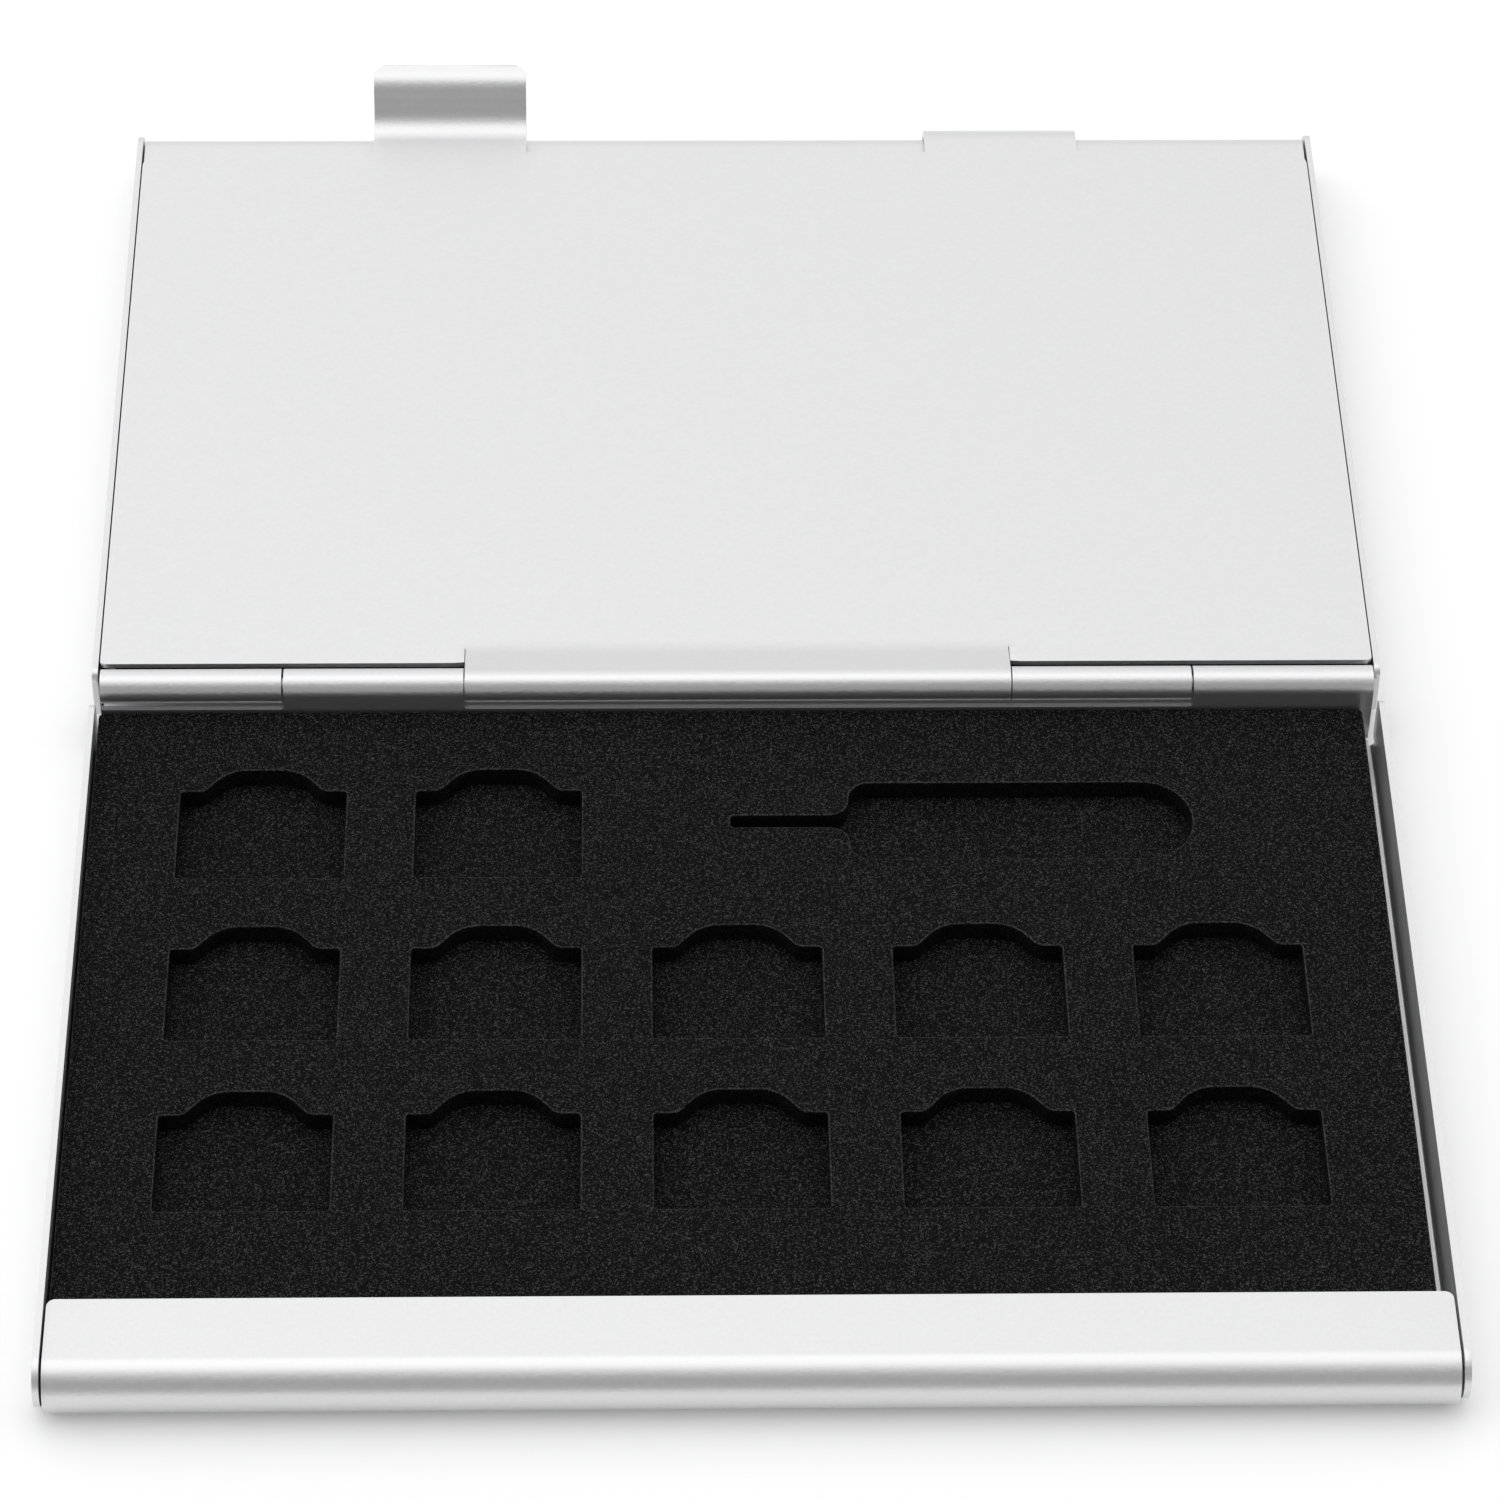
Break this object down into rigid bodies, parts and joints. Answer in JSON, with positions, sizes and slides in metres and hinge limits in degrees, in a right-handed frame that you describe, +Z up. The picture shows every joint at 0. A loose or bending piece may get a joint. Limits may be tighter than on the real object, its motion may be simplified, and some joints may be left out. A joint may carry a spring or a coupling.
{
  "type": "sim card case",
  "caption": "Slim aluminium case for small SIM cards, lying open flat, with die-cut black foam in both shells and a hinged divider leaf with two finger tabs.",
  "frame": {"origin": "on the table under the middle of the open case", "axes": "+Y from the base across the hinge to the lid, +Z up off the table, X along the hinge"},
  "size_m": [0.095, 0.1304, 0.0091],
  "materials": {
    "shell": "satin clear anodised, very fine grain along the hinge",
    "divider": "satin clear anodised, very fine grain along the hinge",
    "pin": "plain drawn wire",
    "foam": "black closed-cell EVA foam with small bright specks",
    "film": "thin double-sided adhesive film"
  },
  "bodies": {
    "base": {"base_shell": "shell", "hinge_pin": "pin", "base_pocket_foam": "foam", "base_backing_foam": "foam", "base_adhesive_film": "film"},
    "lid": {"lid_shell": "shell", "lid_pocket_foam": "foam", "lid_backing_foam": "foam", "lid_adhesive_film": "film"},
    "divider": {"divider_leaf": "divider"}
  },
  "joints": [
    {"name": "lid_hinge", "type": "hinge", "parent": "base", "child": "lid", "pos_m": [0, -0.00136, 0.005], "axis": [1, 0, 0], "range_deg": [0, 180]},
    {"name": "divider_hinge", "type": "hinge", "parent": "lid", "child": "divider", "pos_m": [0, -0.00136, 0.005], "axis": [1, 0, 0], "range_deg": [0, 180]}
  ]
}
